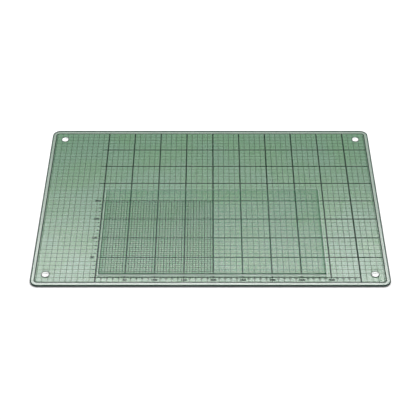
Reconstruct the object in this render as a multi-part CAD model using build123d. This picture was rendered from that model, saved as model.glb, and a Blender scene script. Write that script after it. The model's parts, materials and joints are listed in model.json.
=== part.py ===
from build123d import *
import os

# A self-healing cutting mat: five plies bonded face to face, with a smaller clear sheet lying loose on it.
# Millimetres. The origin is the middle of the underside, +X runs along the long side and +Z is up.

# Outline of the mat
mat_width = 610.0
mat_depth = 430.0
corner_radius = 14.0
edge_round = 0.4

# Thickness of each ply: one hard core, then a printed film and a soft sheet on each face of it
core_thickness = 1.0
soft_thickness = 1.0
film_thickness = 0.3

# Clear border all round, where the soft sheets reach the core and seal the films in
side_border = 6.4
end_border = 8.0
film_corner_radius = 6.0
film_clearance = 0.1

# Hanging holes in the corners, each in a ring of soft sheet that keeps the film away from the hole
hole_radius = 6.0
hole_inset_x = 25.0
hole_inset_y = 27.5
hole_seal = 1.5

# Zero point of the printed rules, from the front left corner of the mat
zero_x = 110.0
zero_y = 20.0

# Loose sheet, with its place measured from the zero point
sheet_width = 389.0
sheet_depth = 226.0
sheet_thickness = 3.0
sheet_corner_radius = 2.0
sheet_gap_x = 4.0
sheet_gap_y = 3.0
rest_gap = 0.1

mat_thickness = core_thickness + 2 * soft_thickness
core_bottom = soft_thickness
core_top = soft_thickness + core_thickness

hole_reach_x = mat_width / 2 - hole_inset_x
hole_reach_y = mat_depth / 2 - hole_inset_y
hole_places = [(x, y) for x in (-hole_reach_x, hole_reach_x) for y in (-hole_reach_y, hole_reach_y)]


def corner_discs(radius):
    """Four flat discs, one at each hanging hole."""
    discs = Sketch()
    for x, y in hole_places:
        discs += Pos(x, y) * Circle(radius)
    return discs


def outline():
    """The mat's outline with its hanging holes."""
    return RectangleRounded(mat_width, mat_depth, corner_radius) - corner_discs(hole_radius)


def film_outline(gap):
    """The printed area, drawn in by a gap from the pocket that holds the film."""
    width = mat_width - 2 * (side_border + gap)
    depth = mat_depth - 2 * (end_border + gap)
    area = RectangleRounded(width, depth, film_corner_radius)
    return area - corner_discs(hole_radius + hole_seal + gap)


def soft_sheet():
    """A soft outer sheet with its working face up and its bonded face, with the film's pocket, at z = 0."""
    slab = extrude(outline(), soft_thickness)
    working_face = slab.faces().sort_by(Axis.Z)[-1]
    slab = fillet(working_face.outer_wire().edges(), edge_round)
    return slab - extrude(film_outline(0), film_thickness)


def printed_film():
    """A printed film with its bonded face at z = 0."""
    return extrude(film_outline(film_clearance), film_thickness)


def loose_sheet():
    """The loose sheet, with its underside at z = 0 and its front left corner at the zero point's offsets."""
    slab = extrude(RectangleRounded(sheet_width, sheet_depth, sheet_corner_radius), sheet_thickness)
    slab_faces = slab.faces().sort_by(Axis.Z)
    slab = fillet(slab_faces[0].edges() + slab_faces[-1].edges(), edge_round)
    left = -mat_width / 2 + zero_x + sheet_gap_x
    front = -mat_depth / 2 + zero_y + sheet_gap_y
    return Pos(left + sheet_width / 2, front + sheet_depth / 2) * slab


def turned_down(piece):
    """The same piece upside down, about its bonded face."""
    return mirror(piece, about=Plane.XY)


pieces = {
    "bottom_soft_sheet": Pos(0, 0, core_bottom) * turned_down(soft_sheet()),
    "bottom_printed_film": Pos(0, 0, core_bottom) * turned_down(printed_film()),
    "hard_core_sheet": Pos(0, 0, core_bottom) * extrude(outline(), core_thickness),
    "top_printed_film": Pos(0, 0, core_top) * printed_film(),
    "top_soft_sheet": Pos(0, 0, core_top) * soft_sheet(),
    "loose_clear_sheet": Pos(0, 0, mat_thickness + rest_gap) * loose_sheet(),
}

os.makedirs("parts", exist_ok=True)
for name, piece in pieces.items():
    piece.label = name
    export_step(piece, f"parts/{name}.step")
    print(f"{name}: {len(piece.solids())} solid, {piece.volume / 1000:.1f} cm3")
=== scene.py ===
import json
import math

import bmesh
import bpy
from mathutils import Matrix, Vector


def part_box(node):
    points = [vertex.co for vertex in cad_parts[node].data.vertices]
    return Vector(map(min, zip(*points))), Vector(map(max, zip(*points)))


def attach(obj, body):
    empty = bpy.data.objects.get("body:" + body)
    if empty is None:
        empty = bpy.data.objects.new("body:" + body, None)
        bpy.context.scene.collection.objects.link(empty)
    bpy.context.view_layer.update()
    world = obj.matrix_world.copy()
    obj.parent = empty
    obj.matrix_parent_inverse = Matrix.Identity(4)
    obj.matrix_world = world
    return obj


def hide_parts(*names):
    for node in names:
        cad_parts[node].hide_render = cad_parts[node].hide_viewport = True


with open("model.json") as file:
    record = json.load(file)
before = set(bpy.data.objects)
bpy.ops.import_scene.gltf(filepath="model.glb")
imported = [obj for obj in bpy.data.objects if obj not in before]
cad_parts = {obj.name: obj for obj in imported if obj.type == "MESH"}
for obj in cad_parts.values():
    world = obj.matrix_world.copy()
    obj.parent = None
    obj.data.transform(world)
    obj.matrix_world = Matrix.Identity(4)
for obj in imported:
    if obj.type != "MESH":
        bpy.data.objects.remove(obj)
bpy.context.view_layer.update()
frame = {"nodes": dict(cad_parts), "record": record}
print("frame loaded:", len(frame["nodes"]), "plies and sheets")

mm = 0.001
plasticIor = 1.5
tiny = 1e-6

# Places read from the frame. The mat's middle is on the Z axis, and its underside is at z = 0.
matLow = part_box("bottom_soft_sheet")[0]
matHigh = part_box("top_soft_sheet")[1]
coreLow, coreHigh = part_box("hard_core_sheet")
filmLow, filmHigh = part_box("top_printed_film")
looseLow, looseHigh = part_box("loose_clear_sheet")
bores = [mount for mount in frame["record"]["mounts"] if mount["kind"] == "bore"]
holes = [Vector(bore["pos_m"]) for bore in bores]
holeRadius = bores[0]["dims"]["r_mm"] * mm

softSheet = {
    "cornerRadius": 14 * mm,
    "edgeRound": 0.4 * mm,
    "bondGap": 0.02 * mm,       # the glue line under the sheet
    "filmCornerRadius": 6 * mm,
    "filmGap": 0.1 * mm,        # pocket wall to film, and the room over the ink
    "holeSeal": 1.5 * mm,
    "tint": (0.32, 0.46, 0.37),
    # the edge colour below is painted shade for the cut edges and the rings round the holes
    "paintedEdgeShade": (0.012, 0.034, 0.025),
    # painted light: a pale colour on the hole walls, standing in for light scattered through the
    # clear sheet
    "paintedWallLight": (0.90, 0.93, 0.91),
    "paintedWallGlow": (0.44, 0.46, 0.45),     # painted glow, standing in for light scattered into the hole through the clear sheet
    "haze": 0.02,
    # opacity of the painted edge shade and of the painted light on the hole walls
    "paintedEdgeAlpha": 0.97,
    "rimWidth": 1.9 * mm,
    "ringWidth": 1.1 * mm,
    "wallDepth": 0.2 * mm,
    "wallReach": (1.15 * mm, 1.30 * mm),    # the painted light on the hole walls ends here, up or down from the middle
    "gloss": 0.25,
}

looseSheet = {
    "cornerRadius": 2 * mm,
    "edgeRound": 0.4 * mm,
    "tint": (0.010, 0.140, 0.045),
    "paintedEdgeShade": (0.004, 0.028, 0.012),
    # painted highlight on the sawn edges
    "paintedEdgeHighlight": (0.76, 0.91, 0.80),
    "paintedHighlightGlow": (0.10, 0.135, 0.115),     # painted glow, standing in for light carried through the sheet to its edges
    "haze": 0.07,
    "paintedEdgeAlpha": 0.95,
    "paintedHighlightAlpha": 0.62,
    # painted shade: extra opacity of the dark green band inside the edges
    "shadedBandAlpha": 0.10,
    "sideShare": 0.30,          # how much of the painted edge line and highlight is kept away from the front
    "paleWidth": 0.5 * mm,
    "lineWidth": 2.9 * mm,
    "bandWidth": 16 * mm,
    "upperDepth": (1.0 * mm, 0.5 * mm),     # under the top face, where the line and band start
    "frontReach": (3 * mm, 6 * mm),
    "gloss": 0.10,
}

# Haze, knife scores and uneven edges of the clear sheets
wear = {
    "cloudScale": 9.0,
    "scoreStretch": (900.0, 9.0, 1.0),
    "scoreTurn": 24.0,
    "scoreHaze": 0.05,
    "roughness": 0.34,
    "roughnessDrift": 0.08,
    "edgeScale": 120.0,
    "edgeWaver": 0.3 * mm,
    "edgeRoughness": 0.4,
}

core = {
    "tint": (0.185, 0.245, 0.200),
    "deepTint": (0.155, 0.215, 0.170),
    # painted shade for the cut edges
    "paintedSideShade": (0.030, 0.065, 0.050),
    # painted light in the bores
    "paintedBoreLight": (0.93, 0.95, 0.94),
    "sideDepth": 0.3 * mm,
    "grainScale": 700.0,
    "cloudScale": 14.0,
}

film = {
    "green": (0.048, 0.148, 0.060),
    "blueGreen": (0.054, 0.146, 0.078),
    "roughness": 0.27,
    "grainDepth": 0.0012 * mm,
    "grainScale": 800.0,
    "driftScale": 11.0,
    "speckleScale": 160.0,
}

ink = {
    "heavy": (0.004, 0.013, 0.007),
    "light": (0.012, 0.032, 0.018),
    "roughness": 0.45,
    "gloss": 0.03,
    "coverScale": 260.0,
    "thinning": 1.6,
    "height": 0.04 * mm,
    "smoothAngle": 30.0,
}

ruling = {
    "zeroPoint": (110 * mm, 20 * mm),   # from the front left corner of the mat
    "heavyPitch": 50 * mm,
    "lightPitch": 10 * mm,
    "finePitch": 5 * mm,
    "heavyCount": (9, 8),
    "fineSide": 200 * mm,
    "heavyWidth": 2.5 * mm,
    "zeroWidth": 1.9 * mm,
    "lightWidth": 0.85 * mm,
    "fineWidth": 1.0 * mm,
    "borderWidth": 1.9 * mm,
    "overrun": 9 * mm,
    "edgeClear": 2 * mm,                # no light line is nearer to the film's edge
    "waver": 0.06,
    "seed": 7,
}

numerals = {
    "height": 5.0 * mm,
    "smallHeight": 2.2 * mm,
    "gap": 5.8 * mm,
    "smallGap": 3.2 * mm,
    "sideGap": 8.6 * mm,
    "smallSideGap": 4.5 * mm,
    "tick": 1.5 * mm,
    "digitShare": 0.70,         # digit height in the font's size
    "boldness": 0.085,          # stroke growth in the digit height
    "curveSteps": 3,
}

studio = {
    "floorSize": 14.0,
    "floorDrop": 0.05 * mm,
    "floorTint": (0.90, 0.90, 0.90),
    "ambient": 0.52,
    "softboxSize": (2.2, 0.8),
    "softboxElevation": 53.0,
    "softboxDistance": 2.6,
    "softboxPower": 88.0,
}

cameraPlan = {
    "place": (-0.0005, -1.6631, 1.4249),
    "tilt": 40.89,
    "lens": 103.35,
    "sensor": 36.0,
}


# Shader and geometry nodes

def opaque(shade):
    return (*shade, 1.0)


class Signal:
    # A socket's output, which takes part in Python sums
    def __init__(self, maker, socket):
        self.maker = maker
        self.socket = socket

    def math(self, operation, *others):
        return self.maker.maths(operation, self, *others)

    def __add__(self, other):
        return self.math("ADD", other)

    def __sub__(self, other):
        return self.math("SUBTRACT", other)

    def __rsub__(self, other):
        return self.maker.maths("SUBTRACT", other, self)

    def __mul__(self, other):
        return self.math("MULTIPLY", other)

    def __pow__(self, other):
        return self.math("POWER", other)

    def __abs__(self):
        return self.math("ABSOLUTE")

    __radd__ = __add__
    __rmul__ = __mul__

    def most(self, other):
        return self.math("MAXIMUM", other)

    def least(self, other):
        return self.math("MINIMUM", other)

    def out(self, name):
        return Signal(self.maker, self.socket.node.outputs[name])


class NodeMaker:
    def __init__(self, tree):
        self.tree = tree
        tree.nodes.clear()

    def add(self, kind, settings=None, inputs=None, output=0):
        node = self.tree.nodes.new(kind)
        for name, value in (settings or {}).items():
            setattr(node, name, value)
        for name, value in (inputs or {}).items():
            if isinstance(value, Signal):
                self.tree.links.new(value.socket, node.inputs[name])
            else:
                node.inputs[name].default_value = value
        return Signal(self, node.outputs[output] if len(node.outputs) else None)

    def maths(self, operation, *values):
        return self.add("ShaderNodeMath", {"operation": operation}, dict(enumerate(values)))

    def place(self):
        return self.add("ShaderNodeTexCoord", output="Object")

    def axes(self, place):
        x = self.add("ShaderNodeSeparateXYZ", {}, {"Vector": place})
        return x, x.out("Y"), x.out("Z")

    def noise(self, place, scale, detail=2.0, roughness=0.5):
        inputs = {"Vector": place, "Scale": scale, "Detail": detail, "Roughness": roughness}
        return self.add("ShaderNodeTexNoise", {}, inputs)

    def stretched(self, place, scale, turn):
        inputs = {"Vector": place, "Scale": scale, "Rotation": (0, 0, math.radians(turn))}
        return self.add("ShaderNodeMapping", {}, inputs)

    def mixed(self, share, *shades):
        first, second = [s if isinstance(s, Signal) else opaque(s) for s in shades]
        inputs = {0: share, 6: first, 7: second}
        return self.add("ShaderNodeMix", {"data_type": "RGBA"}, inputs, output=2)

    def smooth(self, value, low, high, fromValue=0.0, toValue=1.0):
        inputs = {"Value": value, 1: low, 2: high, 3: fromValue, 4: toValue}
        return self.add("ShaderNodeMapRange", {"interpolation_type": "SMOOTHSTEP"}, inputs)

    def below(self, value, low, high):
        # One up to low, nothing from high
        return self.smooth(value, low, high, 1.0, 0.0)

    def bump(self, height, distance):
        inputs = {"Height": height, "Distance": distance, "Strength": 1.0}
        return self.add("ShaderNodeBump", {}, inputs)

    def glow(self, mask, shade):
        # A weak glow inside the mask and none outside it
        return {"Emission Color": self.mixed(mask, (0, 0, 0), shade), "Emission Strength": 1.0}

    def principled(self, inputs):
        surface = self.add("ShaderNodeBsdfPrincipled", {}, {"IOR": plasticIor, **inputs})
        self.add("ShaderNodeOutputMaterial", {}, {"Surface": surface})


def newMaterial(name):
    material = bpy.data.materials.new(name)
    material.use_nodes = True
    return material, NodeMaker(material.node_tree)


def outlineDistance(x, y, low, high, radius):
    # Distance past the outline of a sheet with rounded corners, negative inside it
    pastX = abs(x - (low.x + high.x) / 2) - ((high.x - low.x) / 2 - radius)
    pastY = abs(y - (low.y + high.y) / 2) - ((high.y - low.y) / 2 - radius)
    corner = (pastX.most(0.0) ** 2.0 + pastY.most(0.0) ** 2.0) ** 0.5
    return corner + pastX.most(pastY).least(0.0) - radius


def holeDistance(x, y):
    # Distance from the wall of the nearest hanging hole, positive outside the hole
    acrossX = abs(x) - abs(holes[0].x)
    acrossY = abs(y) - abs(holes[0].y)
    return (acrossX ** 2.0 + acrossY ** 2.0) ** 0.5 - holeRadius


def cutWaver(maker, place):
    # The slight waver of a cut edge
    return (maker.noise(place, wear["edgeScale"]) - 0.5) * wear["edgeWaver"]


def scoredHaze(maker, place, sheet):
    # Haze in soft clouds with a few faint knife scores, and the roughness that goes with it
    cloud = maker.noise(place, wear["cloudScale"], 3.0)
    stretched = maker.stretched(place, wear["scoreStretch"], wear["scoreTurn"])
    scores = maker.noise(stretched, 1.0, 1.0)
    scored = maker.smooth(scores, 0.70, 0.78) * maker.smooth(cloud, 0.48, 0.66)
    haze = sheet["haze"] * (0.85 + 0.3 * cloud) + wear["scoreHaze"] * scored
    return haze, wear["roughness"] + wear["roughnessDrift"] * cloud


def softSheetMaterial():
    # A clear soft sheet with painted shade along its cut edges and in a ring round each hole, and
    # painted light on the hole walls
    material, maker = newMaterial("clearSoftSheet")
    place = maker.place()
    x, y, z = maker.axes(place)
    waver = cutWaver(maker, place)
    depth = waver - outlineDistance(x, y, matLow, matHigh, softSheet["cornerRadius"])
    rimWidth, ringWidth = softSheet["rimWidth"], softSheet["ringWidth"]
    # painted shade: a dark band inside the outline and a ring round each hole, given the dark edge
    # colour and made nearly opaque
    rim = maker.below(depth, rimWidth * 0.8, rimWidth * 1.1)
    away = holeDistance(x, y)
    rim = rim.most(maker.below(away + waver, ringWidth, ringWidth * 1.4))
    inside = maker.below(abs(z - matHigh.z / 2), *softSheet["wallReach"])
    # painted light on the hole walls: a pale colour and a glow
    wall = maker.below(away, softSheet["wallDepth"] / 2, softSheet["wallDepth"]) * inside
    haze, roughness = scoredHaze(maker, place, softSheet)
    face = maker.mixed(rim, softSheet["tint"], softSheet["paintedEdgeShade"])
    maker.principled({
        "Base Color": maker.mixed(wall, face, softSheet["paintedWallLight"]),
        "Alpha": haze + (softSheet["paintedEdgeAlpha"] - haze) * rim.most(wall),
        "Roughness": roughness + wear["edgeRoughness"] * rim,
        "Specular IOR Level": softSheet["gloss"],
        **maker.glow(wall, softSheet["paintedWallGlow"]),
    })
    return material


def looseSheetMaterial():
    # A thick clear sheet: a painted highlight on its sawn edges and a dark line of painted shade
    # inside them, both strongest at the front, and a green band of painted shade fading inwards
    material, maker = newMaterial("clearLooseSheet")
    place = maker.place()
    x, y, z = maker.axes(place)
    outside = outlineDistance(x, y, looseLow, looseHigh, looseSheet["cornerRadius"])
    depth = cutWaver(maker, place) - outside
    paleWidth, lineWidth = looseSheet["paleWidth"], looseSheet["lineWidth"]
    # painted highlight: a pale, glowing strip at the very edge
    pale = maker.below(depth, paleWidth * 0.8, paleWidth * 1.2)
    # painted shade: a dark line just inside the edge
    line = maker.below(depth, lineWidth * 0.9, lineWidth * 1.1)
    # painted shade: a darker green band fading inwards from the edges
    band = maker.below(depth, 0.0, looseSheet["bandWidth"])
    upper = maker.smooth(z, *[looseHigh.z - down for down in looseSheet["upperDepth"]])
    # the painted line and highlight are stronger at the front edge than at the back and sides
    frontLow, frontHigh = [looseLow.y + back for back in looseSheet["frontReach"]]
    front = maker.smooth(y, frontLow, frontHigh, 1.0, looseSheet["sideShare"])
    haze, roughness = scoredHaze(maker, place, looseSheet)
    line = line * front
    shaded = maker.mixed(line, looseSheet["tint"], looseSheet["paintedEdgeShade"])
    dimmed = haze + looseSheet["shadedBandAlpha"] * band
    inner = haze + (dimmed + (looseSheet["paintedEdgeAlpha"] - dimmed) * line - haze) * upper
    maker.principled({
        "Base Color": maker.mixed(pale, shaded, looseSheet["paintedEdgeHighlight"]),
        "Alpha": inner + (looseSheet["paintedHighlightAlpha"] * front - inner) * pale,
        "Roughness": roughness + wear["edgeRoughness"] * line,
        "Specular IOR Level": looseSheet["gloss"],
        **maker.glow(pale, looseSheet["paintedHighlightGlow"]),
    })
    return material


def satin(maker, grain):
    # The fine grain that the core and the films share
    return {
        "Roughness": film["roughness"] - 0.05 + 0.10 * grain,
        "Normal": maker.bump(grain, film["grainDepth"]),
    }


def coreMaterial():
    # Pale hard sheet with painted shade on its cut edges and painted light in its bores
    material, maker = newMaterial("paleHardCore")
    place = maker.place()
    x, y = maker.axes(place)[:2]
    depth = 0.0 - outlineDistance(x, y, coreLow, coreHigh, softSheet["cornerRadius"])
    sideDepth = core["sideDepth"]
    # painted shade along the cut edges
    side = maker.below(depth, sideDepth * 0.7, sideDepth)
    # painted light in the bores: a pale colour and the same glow as the hole walls of the soft
    # sheets
    bore = maker.below(holeDistance(x, y), sideDepth * 0.7, sideDepth)
    grain = maker.noise(place, core["grainScale"], 3.0)
    cloud = maker.smooth(maker.noise(place, core["cloudScale"], 3.0), 0.3, 0.7)
    pale = maker.mixed(cloud, core["tint"], core["deepTint"])
    drilled = maker.mixed(bore, pale, core["paintedBoreLight"])
    maker.principled({
        "Base Color": maker.mixed(side, drilled, core["paintedSideShade"]),
        **maker.glow(bore, softSheet["paintedWallGlow"]),
        **satin(maker, grain),
    })
    return material


def filmMaterial():
    # Printed film: a satin green that drifts towards blue in broad clouds
    material, maker = newMaterial("greenPrintedFilm")
    place = maker.place()
    drift = maker.smooth(maker.noise(place, film["driftScale"], 3.0), 0.35, 0.65)
    grain = maker.noise(place, film["grainScale"], 3.0)
    speckle = maker.noise(place, film["speckleScale"], 4.0, 0.65)
    shade = maker.add("ShaderNodeHueSaturation", {}, {
        "Value": 0.90 + 0.12 * speckle + 0.08 * grain,
        "Color": maker.mixed(drift, film["green"], film["blueGreen"]),
    })
    maker.principled({"Base Color": shade, **satin(maker, grain)})
    return material


def inkMaterial(name, shade):
    # Dull dark ink, a little thinner where the screen laid less
    material, maker = newMaterial(name)
    place = maker.place()
    cover = maker.smooth(maker.noise(place, ink["coverScale"], 4.0, 0.7), 0.38, 0.70)
    thinned = [ink["thinning"] * value for value in shade]
    maker.principled({
        "Base Color": maker.mixed(cover, shade, thinned),
        "Roughness": ink["roughness"] + 0.1 * cover,
        "Specular IOR Level": ink["gloss"],
    })
    return material


# Mesh building

def placed(name, data):
    # A new object at the origin
    thing = bpy.data.objects.new(name, data)
    bpy.context.scene.collection.objects.link(thing)
    return thing


def plainMesh(holder):
    # The finished mesh of an object with modifiers or a curve, which isn't needed after that
    graph = bpy.context.evaluated_depsgraph_get()
    data = bpy.data.meshes.new_from_object(holder.evaluated_get(graph))
    bpy.data.objects.remove(holder)
    return data


def roundedLoop(low, high, radius, inset=0.0, steps=10):
    # Points round a rectangle with rounded corners, drawn in from its outline
    points = []
    bend = max(radius - inset, 0.0)
    middle = (low + high) / 2
    reach = (high - low) / 2
    for signX, signY, start in ((1, 1, 0), (-1, 1, 90), (-1, -1, 180), (1, -1, 270)):
        centreX = middle.x + signX * (reach.x - inset - bend)
        centreY = middle.y + signY * (reach.y - inset - bend)
        for step in range(steps + 1):
            angle = math.radians(start + 90 * step / steps)
            points.append((centreX + bend * math.cos(angle), centreY + bend * math.sin(angle)))
    return points


def circleLoop(centre, radius, steps=40):
    angles = [2 * math.pi * step / steps for step in range(steps)]
    return [(centre.x + radius * math.cos(a), centre.y + radius * math.sin(a)) for a in angles]


def addRing(mesh, points, z):
    return [mesh.verts.new((x, y, z)) for x, y in points]


def skin(mesh, rings):
    # Walls between rings that have as many points
    for lower, upper in zip(rings, rings[1:]):
        for index in range(len(lower)):
            after = (index + 1) % len(lower)
            mesh.faces.new((lower[index], lower[after], upper[after], upper[index]))


def cap(mesh, rings):
    # A flat face inside the first ring and outside the others
    edges = []
    for ring in rings:
        for first, second in zip(ring, ring[1:] + ring[:1]):
            edges.append(mesh.edges.get((first, second)) or mesh.edges.new((first, second)))
    bmesh.ops.triangle_fill(mesh, use_beauty=True, edges=edges, normal=(0, 0, 1))


def roundedRings(mesh, low, high, sheet, bottom, top, roundBottom=False, steps=4):
    # Rings up the side of a sheet, whose upper edge is rounded, and its lower edge too if asked
    bend = sheet["edgeRound"]
    angles = [math.radians(90 * step / steps) for step in range(steps + 1)]
    arc = [(bend * (1 - math.cos(angle)), bend * (1 - math.sin(angle))) for angle in angles]
    foot = [(inset, bottom + rise) for inset, rise in reversed(arc)]
    profile = foot if roundBottom else [(0.0, bottom)]
    profile += [(inset, top - drop) for inset, drop in arc]
    radius = sheet["cornerRadius"]
    return [addRing(mesh, roundedLoop(low, high, radius, inset), z) for inset, z in profile]


def finishMesh(name, mesh, material, smoothAngle=50.0):
    bmesh.ops.recalc_face_normals(mesh, faces=mesh.faces)
    data = bpy.data.meshes.new(name)
    mesh.to_mesh(data)
    mesh.free()
    data.materials.append(material)
    data.shade_smooth()
    data.set_sharp_from_angle(angle=math.radians(smoothAngle))
    return placed(name, data)


def turnedUnder(piece, name):
    # The same piece on the other side of the mat, turned over about the mat's long middle line
    data = piece.data.copy()
    data.name = name
    lift = Matrix.Translation((0, 0, matHigh.z + matLow.z))
    data.transform(lift @ Matrix.Rotation(math.pi, 4, "Y"))
    return placed(name, data)


def holeRings(mesh, radius, bottom, top):
    # A pair of rings round each hanging hole
    return [[addRing(mesh, circleLoop(hole, radius), z) for z in (bottom, top)] for hole in holes]


def softSheetMesh(material):
    # One soft sheet with a shallow pocket under it for the printed film
    mesh = bmesh.new()
    bottom = coreHigh.z + softSheet["bondGap"]
    top = matHigh.z
    ceiling = filmHigh.z + softSheet["filmGap"]
    sides = roundedRings(mesh, matLow, matHigh, softSheet, bottom, top)
    skin(mesh, sides)
    walls = holeRings(mesh, holeRadius, bottom, top)
    for wall in walls:
        skin(mesh, wall)
    gap = Vector((softSheet["filmGap"], softSheet["filmGap"], 0))
    pocketLoop = roundedLoop(filmLow - gap, filmHigh + gap, softSheet["filmCornerRadius"])
    pocket = [addRing(mesh, pocketLoop, z) for z in (bottom, ceiling)]
    skin(mesh, pocket)
    seals = holeRings(mesh, holeRadius + softSheet["holeSeal"], bottom, ceiling)
    for seal, wall in zip(seals, walls):
        skin(mesh, seal)
        cap(mesh, [seal[0], wall[0]])
    cap(mesh, [sides[-1]] + [wall[1] for wall in walls])
    cap(mesh, [sides[0], pocket[0]])
    cap(mesh, [pocket[1]] + [seal[1] for seal in seals])
    return finishMesh("topSoftSheet", mesh, material)


def looseSheetMesh(material):
    mesh = bmesh.new()
    rings = roundedRings(mesh, looseLow, looseHigh, looseSheet, looseLow.z, looseHigh.z, True)
    skin(mesh, rings)
    cap(mesh, [rings[0]])
    cap(mesh, [rings[-1]])
    return finishMesh("looseClearSheet", mesh, material)


# The printed ruling

zeroX = matLow.x + ruling["zeroPoint"][0]
zeroY = matLow.y + ruling["zeroPoint"][1]
ringRadius = holeRadius + softSheet["holeSeal"] + softSheet["filmGap"]


def borderReach(across, reachAcross, reachAlong):
    # Half the run of a line before it meets the rounded border
    bend = softSheet["filmCornerRadius"]
    past = max(abs(across) - (reachAcross - bend), 0.0)
    return reachAlong - bend + math.sqrt(max(bend ** 2 - past ** 2, 0.0))


def clearRuns(across, start, end, upright):
    # The parts of a line that lie inside the border and miss the rings round the holes
    reaches = (filmHigh.x, filmHigh.y) if upright else (filmHigh.y, filmHigh.x)
    reach = borderReach(across, *reaches)
    runs = [(max(start, -reach), min(end, reach))]
    for hole in holes:
        offset = across - (hole.x if upright else hole.y)
        middle = hole.y if upright else hole.x
        if abs(offset) < ringRadius:
            half = math.sqrt(ringRadius ** 2 - offset ** 2)
            parts = []
            for a, b in runs:
                parts += [(a, min(b, middle - half)), (max(a, middle + half), b)]
            runs = [(a, b) for a, b in parts if b > a]
    return [(across, a, b, upright) for a, b in runs]


def lineRuns(acrossList, start, end, upright):
    return [run for across in acrossList for run in clearRuns(across, start, end, upright)]


def ruleTree():
    # Turns points with a run length and a direction into thin bars of ink
    tree = bpy.data.node_groups.new("ruledBars", "GeometryNodeTree")
    sockets = (
        ("Geometry", "NodeSocketGeometry", "INPUT"), ("Line Width", "NodeSocketFloat", "INPUT"),
        ("Ink Height", "NodeSocketFloat", "INPUT"), ("Waver", "NodeSocketFloat", "INPUT"),
        ("Seed", "NodeSocketInt", "INPUT"), ("Ink", "NodeSocketMaterial", "INPUT"),
        ("Geometry", "NodeSocketGeometry", "OUTPUT"),
    )
    for name, kind, side in sockets:
        tree.interface.new_socket(name, in_out=side, socket_type=kind)
    maker = NodeMaker(tree)
    given = maker.add("NodeGroupInput")
    run, upright = [
        maker.add("GeometryNodeInputNamedAttribute", {"data_type": "FLOAT"}, {"Name": name})
        for name in ("run", "upright")
    ]
    chance = maker.add("FunctionNodeRandomValue", {"data_type": "FLOAT"}, {
        2: 1.0 - given.out("Waver"), 3: 1.0 + given.out("Waver"), "Seed": given.out("Seed"),
    }, output=1)
    width = given.out("Line Width") * chance
    size = maker.add("ShaderNodeCombineXYZ", {}, {
        "X": run + (width - run) * upright,
        "Y": width + (run - width) * upright,
        "Z": given.out("Ink Height"),
    })
    bar = maker.add("GeometryNodeMeshCube", {}, {"Size": (1, 1, 1)})
    bars = maker.add("GeometryNodeInstanceOnPoints", {}, {
        "Points": given.out("Geometry"), "Instance": bar, "Scale": size,
    })
    real = maker.add("GeometryNodeRealizeInstances", {}, {"Geometry": bars})
    inked = maker.add("GeometryNodeSetMaterial", {}, {
        "Geometry": real, "Material": given.out("Ink"),
    })
    maker.add("NodeGroupOutput", {}, {0: inked})
    return tree


def ruledLines(name, runs, width, material, tree):
    # Points at the middle of each run, made into bars by the tree, and then a plain mesh
    height = ink["height"]
    data = bpy.data.meshes.new(name + "Points")
    middles = [(c, (a + b) / 2) if upright else ((a + b) / 2, c) for c, a, b, upright in runs]
    data.from_pydata([(x, y, filmHigh.z + height / 2) for x, y in middles], [], [])
    lengths = [b - a for c, a, b, upright in runs]
    directions = [float(upright) for c, a, b, upright in runs]
    for label, values in (("run", lengths), ("upright", directions)):
        data.attributes.new(label, "FLOAT", "POINT").data.foreach_set("value", values)
    holder = placed(name + "Points", data)
    modifier = holder.modifiers.new("ruledBars", "NODES")
    modifier.node_group = tree
    values = {
        "Line Width": width, "Ink Height": height, "Waver": ruling["waver"],
        "Seed": ruling["seed"], "Ink": material,
    }
    for socket in tree.interface.items_tree:
        if socket.in_out == "INPUT" and socket.name in values:
            modifier[socket.identifier] = values[socket.name]
    plain = plainMesh(holder)
    plain.name = name
    return placed(name, plain)


def multiples(low, high, pitch, skip=0.0):
    # Every multiple of a pitch from low to high, leaving out those of a wider pitch
    numbers = range(math.ceil(low / pitch - tiny), math.floor(high / pitch + tiny) + 1)
    every = [number * pitch for number in numbers]
    return [v for v in every if not skip or abs(v / skip - round(v / skip)) > tiny]


def heavyRuns():
    # Lines every 50 mm. Above the mesh the level ones run out past the upright zero line.
    pitch = ruling["heavyPitch"]
    countX, countY = ruling["heavyCount"]
    runs = []
    for number in range(countX + 1):
        foot = filmLow.y if number in (0, countX) else zeroY
        runs += clearRuns(zeroX + number * pitch, foot, filmHigh.y, True)
    for number in range(1, countY):
        overrun = 0.0 if number * pitch < ruling["fineSide"] + mm else ruling["overrun"]
        runs += clearRuns(zeroY + number * pitch, zeroX - overrun, filmHigh.x, False)
    return runs


def lightRuns():
    # Lines every 10 mm over the whole film, left out or cut short where a heavy line runs.
    # At 150 and 300 mm the two products differ in their last digit, and both lines are printed.
    pitch, heavyPitch = ruling["lightPitch"], ruling["heavyPitch"]
    clear = ruling["edgeClear"]
    heavyX, heavyY = [multiples(0, n * heavyPitch, heavyPitch) for n in ruling["heavyCount"]]
    acrossX = multiples(filmLow.x + clear - zeroX, filmHigh.x - clear - zeroX, pitch)
    acrossY = multiples(filmLow.y + clear - zeroY, filmHigh.y - clear - zeroY, pitch)
    across = [zeroX + v for v in acrossX if v not in heavyX]
    runs = lineRuns(across, filmLow.y, filmHigh.y, True)
    for v in acrossY:
        end = zeroX - ruling["overrun"] if v in heavyY else filmHigh.x
        runs += clearRuns(zeroY + v, filmLow.x, end, False)
    return runs


def fineRuns():
    # The mesh in the front left squares
    side = ruling["fineSide"]
    across = multiples(0, side, ruling["finePitch"], ruling["lightPitch"])
    runs = lineRuns([zeroX + v for v in across], zeroY, zeroY + side, True)
    return runs + lineRuns([zeroY + v for v in across], zeroX, zeroX + side, False)


def zeroRuns():
    wide = ruling["heavyCount"][0] * ruling["heavyPitch"]
    return clearRuns(zeroY, zeroX - ruling["overrun"], zeroX + wide, False)


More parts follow.
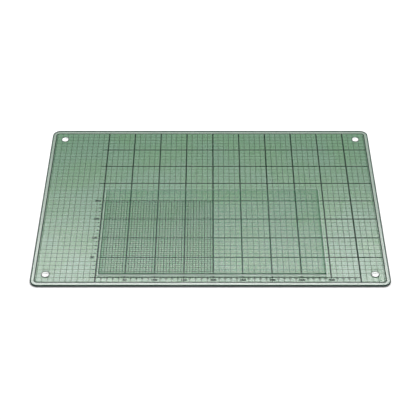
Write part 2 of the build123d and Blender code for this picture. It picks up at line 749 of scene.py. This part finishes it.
def tickRuns():
    # Short marks below the zero rule and beside the mesh, every 10 mm
    tick = numerals["tick"]
    alongX = multiples(0, ruling["heavyCount"][0] * ruling["heavyPitch"], ruling["lightPitch"])
    alongY = multiples(0, ruling["fineSide"], ruling["lightPitch"])
    runs = [(zeroX + v, zeroY - tick, zeroY, True) for v in alongX]
    return runs + [(zeroY + v, zeroX - tick, zeroX, False) for v in alongY]


def borderPiece(material):
    # The printed frame round the film's edge
    mesh = bmesh.new()
    bend, width = softSheet["filmCornerRadius"], ruling["borderWidth"]
    bottom, top = filmHigh.z, filmHigh.z + ink["height"]
    corners = ((0.0, bottom), (0.0, top), (width, top), (width, bottom))
    rings = [addRing(mesh, roundedLoop(filmLow, filmHigh, bend, inset), z) for inset, z in corners]
    skin(mesh, rings + rings[:1])
    return finishMesh("printedBorder", mesh, material, ink["smoothAngle"])


def numeralMesh(text, height):
    curve = bpy.data.curves.new("numeral", "FONT")
    curve.body = text
    curve.size = height / numerals["digitShare"]
    curve.align_x = "CENTER"
    curve.align_y = "CENTER"
    curve.extrude = ink["height"] / 2
    curve.resolution_u = numerals["curveSteps"]
    curve.offset = height * numerals["boldness"]
    return plainMesh(placed("numeral", curve))


def numeralPiece(material):
    # Numbers below the zero rule and left of the mesh: every 50 mm large, every 10 mm small
    pitch = ruling["lightPitch"]
    every = round(ruling["heavyPitch"] / pitch)
    z = filmHigh.z + ink["height"] / 2
    labels = []
    for number in range(1, ruling["heavyCount"][0] * every):
        big = number % every == 0
        gap = numerals["gap"] if big else numerals["smallGap"]
        labels.append((number, big, (zeroX + number * pitch, zeroY - gap, z)))
    for number in range(1, round(ruling["fineSide"] / pitch) + 1):
        big = number % every == 0
        gap = numerals["sideGap"] if big else numerals["smallSideGap"]
        labels.append((number, big, (zeroX - gap, zeroY + number * pitch, z)))
    mesh = bmesh.new()
    for number, big, place in labels:
        height = numerals["height"] if big else numerals["smallHeight"]
        data = numeralMesh(str(round(number * pitch / mm)), height)
        data.transform(Matrix.Translation(place))
        mesh.from_mesh(data)
        bpy.data.meshes.remove(data)
    return finishMesh("ruleNumerals", mesh, material, ink["smoothAngle"])


# Studio

def makeFloor():
    half = studio["floorSize"] / 2
    z = matLow.z - studio["floorDrop"]
    corners = [(-half, -half, z), (half, -half, z), (half, half, z), (-half, half, z)]
    data = bpy.data.meshes.new("studioFloor")
    data.from_pydata(corners, [], [(0, 1, 2, 3)])
    material, maker = newMaterial("paleFloor")
    maker.principled({
        "Base Color": opaque(studio["floorTint"]),
        "Roughness": 1.0,
        "Specular IOR Level": 0.0,
    })
    data.materials.append(material)
    floor = placed("studioFloor", data)


def makeLights():
    world = bpy.data.worlds.new("studioRoom")
    world.use_nodes = True
    maker = NodeMaker(world.node_tree)
    seen = maker.add("ShaderNodeLightPath", output="Is Camera Ray")
    strength = studio["ambient"] + (1.0 - studio["ambient"]) * seen
    glow = maker.add("ShaderNodeBackground", {}, {"Color": (1, 1, 1, 1), "Strength": strength})
    maker.add("ShaderNodeOutputWorld", {}, {"Surface": glow})
    bpy.context.scene.world = world
    light = bpy.data.lights.new("backSoftbox", "AREA")
    light.shape = "RECTANGLE"
    light.size, light.size_y = studio["softboxSize"]
    light.energy = studio["softboxPower"]
    holder = placed("backSoftbox", light)
    rise = math.radians(studio["softboxElevation"])
    towards = Vector((0, math.cos(rise), math.sin(rise)))
    holder.location = towards * studio["softboxDistance"]
    holder.rotation_euler = towards.to_track_quat("Z", "Y").to_euler()


def makeCamera():
    data = bpy.data.cameras.new("studioCamera")
    data.sensor_width = cameraPlan["sensor"]
    data.lens = cameraPlan["lens"]
    camera = placed("studioCamera", data)
    camera.location = cameraPlan["place"]
    camera.rotation_euler = (math.radians(90 - cameraPlan["tilt"]), 0, 0)
    bpy.context.scene.camera = camera


# Making

bpy.context.scene.view_settings.view_transform = "Standard"
makeCamera()
makeFloor()
makeLights()
print("studio ready")

topSheet = softSheetMesh(softSheetMaterial())
bottomSheet = turnedUnder(topSheet, "bottomSoftSheet")
for piece, node in ((topSheet, "top_soft_sheet"), (bottomSheet, "bottom_soft_sheet")):
    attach(piece, "mat")
    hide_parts(node)
print("soft sheets made")

loosePiece = looseSheetMesh(looseSheetMaterial())
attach(loosePiece, "loose_sheet")
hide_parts("loose_clear_sheet")
loosePiece.visible_shadow = False   # clear plastic lets the light through
print("loose sheet made")

hardCore, greenFilm = coreMaterial(), filmMaterial()
carriedOver = {
    "hard_core_sheet": hardCore,
    "top_printed_film": greenFilm,
    "bottom_printed_film": greenFilm,
}
for node, material in carriedOver.items():
    frame["nodes"][node].data.materials.clear()
    frame["nodes"][node].data.materials.append(material)
print("core and films finished")

heavyInk = inkMaterial("heavyGreenInk", ink["heavy"])
lightInk = inkMaterial("lightGreenInk", ink["light"])
barTree = ruleTree()
printed = [
    ruledLines("heavyRules", heavyRuns(), ruling["heavyWidth"], heavyInk, barTree),
    ruledLines("zeroRule", zeroRuns(), ruling["zeroWidth"], heavyInk, barTree),
    ruledLines("lightRules", lightRuns(), ruling["lightWidth"], lightInk, barTree),
    ruledLines("fineMesh", fineRuns(), ruling["fineWidth"], heavyInk, barTree),
    ruledLines("ruleTicks", tickRuns(), ruling["lightWidth"], heavyInk, barTree),
    borderPiece(heavyInk),
    numeralPiece(heavyInk),
]
printed += [turnedUnder(piece, piece.name + "Underside") for piece in printed]
for piece in printed:
    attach(piece, "mat")
print("ruling printed:", sum(len(piece.data.polygons) for piece in printed), "faces")
